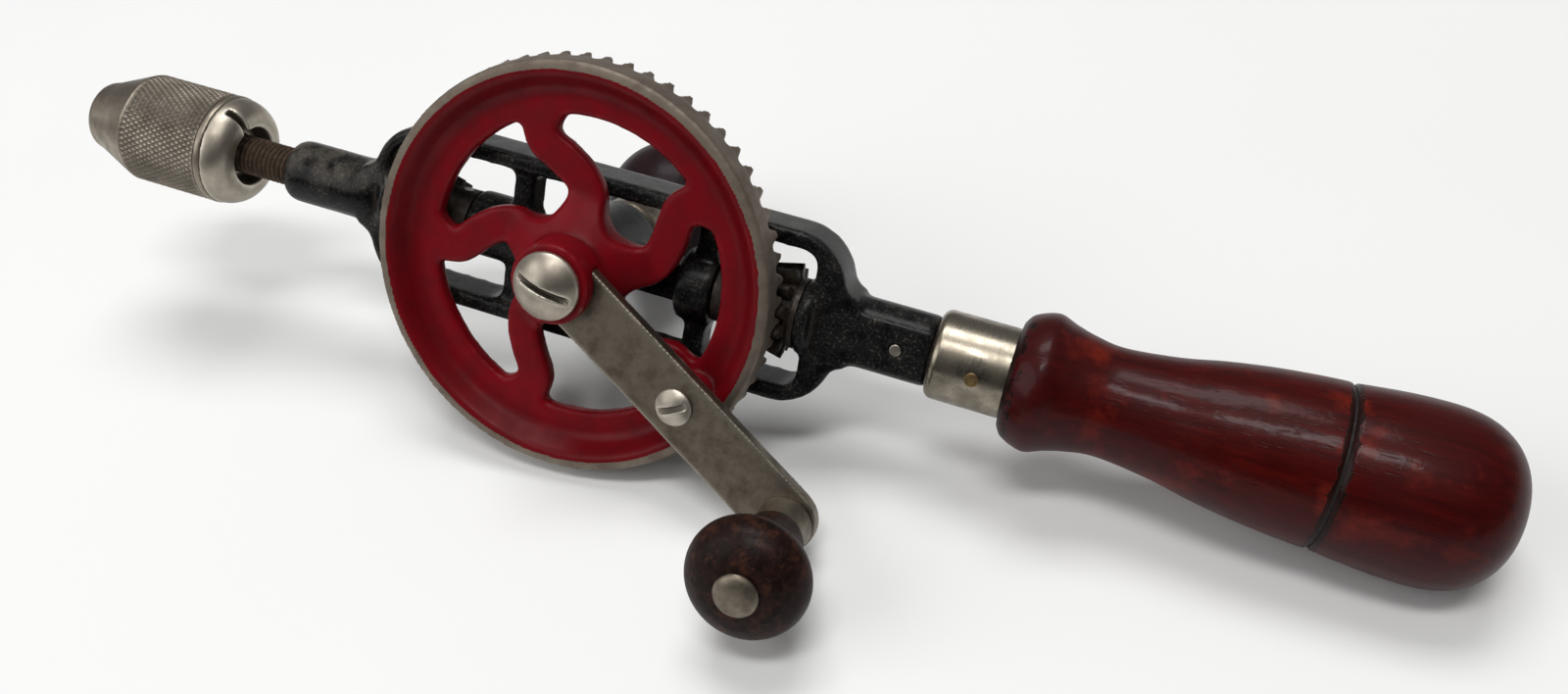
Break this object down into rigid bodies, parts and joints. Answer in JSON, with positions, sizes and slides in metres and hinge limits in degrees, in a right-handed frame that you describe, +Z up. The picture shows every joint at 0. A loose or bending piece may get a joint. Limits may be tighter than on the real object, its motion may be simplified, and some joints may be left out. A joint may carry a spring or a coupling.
{
  "type": "eggbeater hand drill",
  "caption": "Hand-cranked drill: red spoked bevel wheel, paired pinions in an open black frame, three-jaw chuck, hollow turned wood handle and a round side handle.",
  "frame": {"origin": "point on the bench straight below the crossing of the axle and the spindle line", "axes": "+Z up from the bench, +X along the bench toward the handle, +Y away from the crank"},
  "size_m": [0.3413, 0.1342, 0.0897],
  "materials": {
    "black_japan": "glossy black japan, worn at the edges",
    "red_enamel": "cherry red enamel on cast iron, bare rim and teeth",
    "nickel_plate": "tarnished nickel plate",
    "bright_nickel": "polished nickel plate",
    "chuck_nickel": "nickel plated steel, knurled grip",
    "plain_steel": "plain machined steel",
    "greasy_steel": "steel teeth with old grease",
    "rusty_steel": "threaded steel with light rust",
    "brass_pin": "filed flush",
    "black_fibre": "matt black fibre washer",
    "red_stained_wood": "red stained and varnished hardwood",
    "dark_wood": "dark stained hardwood, worn varnish",
    "plum_wood": "dark plum stained hardwood"
  },
  "bodies": {
    "frame": {"frame_casting": "black_japan", "thrust_washers": "plain_steel", "axle_screw": "nickel_plate", "tang_rod": "plain_steel", "shank_pin": "plain_steel", "ferrule": "bright_nickel", "ferrule_pin": "brass_pin", "handle_grip": "red_stained_wood"},
    "cap_carrier": {"cap_washer": "black_fibre"},
    "cap": {"handle_cap": "red_stained_wood"},
    "drive": {"drive_wheel": "red_enamel", "crank_arm": "nickel_plate", "crank_screw": "nickel_plate", "knob_collar": "nickel_plate", "knob_rivet": "nickel_plate"},
    "knob": {"crank_knob": "dark_wood"},
    "spindle": {"spindle": "rusty_steel", "spindle_pinion": "greasy_steel", "pinion_pin": "plain_steel"},
    "idler": {"idler_pinion": "greasy_steel"},
    "chuck_carrier": {"chuck_bead": "chuck_nickel"},
    "chuck": {"chuck_shell": "chuck_nickel", "chuck_back": "chuck_nickel"},
    "jaw_a": {"jaw_1": "plain_steel"},
    "jaw_b": {"jaw_2": "plain_steel"},
    "jaw_c": {"jaw_3": "plain_steel"},
    "side_carrier": {"side_stud": "plain_steel"},
    "side_handle": {"side_ferrule": "bright_nickel", "side_knob": "plum_wood"}
  },
  "joints": [
    {"name": "drive_turn", "type": "hinge", "parent": "frame", "child": "drive", "pos_m": [0, 0, 0.03957], "axis": [0.0481, -0.8943, 0.4448], "continuous": true},
    {"name": "knob_spin", "type": "hinge", "parent": "drive", "child": "knob", "pos_m": [0.05919, -0.03979, 0.00957], "axis": [0.0481, -0.8943, 0.4448], "continuous": true},
    {"name": "spindle_spin", "type": "hinge", "parent": "frame", "child": "spindle", "pos_m": [0, 0, 0.03957], "axis": [0.9942, 0, -0.1076], "continuous": true},
    {"name": "idler_spin", "type": "hinge", "parent": "frame", "child": "idler", "pos_m": [0, 0, 0.03957], "axis": [0.9942, 0, -0.1076], "continuous": true},
    {"name": "chuck_advance", "type": "slide", "parent": "spindle", "child": "chuck_carrier", "axis": [-0.9942, 0, 0.1076], "range_m": [-0.00762, 0]},
    {"name": "chuck_turn", "type": "hinge", "parent": "chuck_carrier", "child": "chuck", "pos_m": [-0.13591, 0, 0.05428], "axis": [-0.9942, 0, 0.1076], "range_deg": [-2162, 0]},
    {"name": "jaw_a_slide", "type": "slide", "parent": "spindle", "child": "jaw_a", "axis": [0.1076, 0.0101, 0.9941], "range_m": [-0.00248, 0]},
    {"name": "jaw_b_slide", "type": "slide", "parent": "spindle", "child": "jaw_b", "axis": [-0.0528, -0.871, -0.4884], "range_m": [-0.00248, 0]},
    {"name": "jaw_c_slide", "type": "slide", "parent": "spindle", "child": "jaw_c", "axis": [-0.0547, 0.8609, -0.5058], "range_m": [-0.00248, 0]},
    {"name": "cap_advance", "type": "slide", "parent": "frame", "child": "cap_carrier", "axis": [0.9942, 0, -0.1076], "range_m": [0, 0.01429]},
    {"name": "cap_turn", "type": "hinge", "parent": "cap_carrier", "child": "cap", "pos_m": [0.16703, 0, 0.0215], "axis": [0.9942, 0, -0.1076], "range_deg": [0, 1622]},
    {"name": "side_advance", "type": "slide", "parent": "frame", "child": "side_carrier", "axis": [-0.0481, 0.8943, -0.4448], "range_m": [0, 0.01143]},
    {"name": "side_turn", "type": "hinge", "parent": "side_carrier", "child": "side_handle", "pos_m": [-0.00238, 0.04418, 0.0176], "axis": [-0.0481, 0.8943, -0.4448], "range_deg": [0, 3242]}
  ],
  "couplings": [
    {"joint": "spindle_spin", "follows": "drive_turn", "ratio": 5},
    {"joint": "idler_spin", "follows": "drive_turn", "ratio": -5},
    {"joint": "chuck_turn", "follows": "chuck_advance", "rad_per_m": 4947.4},
    {"joint": "jaw_a_slide", "follows": "chuck_advance", "ratio": 0.32492},
    {"joint": "jaw_b_slide", "follows": "chuck_advance", "ratio": 0.32492},
    {"joint": "jaw_c_slide", "follows": "chuck_advance", "ratio": 0.32492},
    {"joint": "cap_turn", "follows": "cap_advance", "rad_per_m": 1979},
    {"joint": "side_turn", "follows": "side_advance", "rad_per_m": 4947.4}
  ]
}
